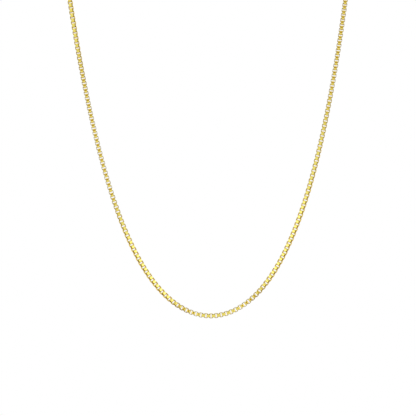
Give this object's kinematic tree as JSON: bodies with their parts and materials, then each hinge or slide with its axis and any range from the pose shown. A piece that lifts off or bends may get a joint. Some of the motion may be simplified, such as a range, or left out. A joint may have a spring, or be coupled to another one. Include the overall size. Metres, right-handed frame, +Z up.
{
  "type": "box chain necklace",
  "caption": "Fine gold-coloured box chain worn as a necklace: square links of flat strip hooked through each other, closed at the nape by a round clasp and jump rings.",
  "frame": {"origin": "the middle of the closure at the nape, where the fastened chain hangs on the neck", "axes": "+Z up, +X towards the wearer's left, the front of the necklace towards -Y"},
  "size_m": [0.1261, 0.1024, 0.1801],
  "materials": {
    "gold": "polished, plated with yellow gold colour"
  },
  "bodies": {
    "root": {"chain_front": "gold", "chain_back": "gold", "clasp": "gold", "jump_ring_left": "gold", "jump_ring_right": "gold"}
  },
  "joints": []
}
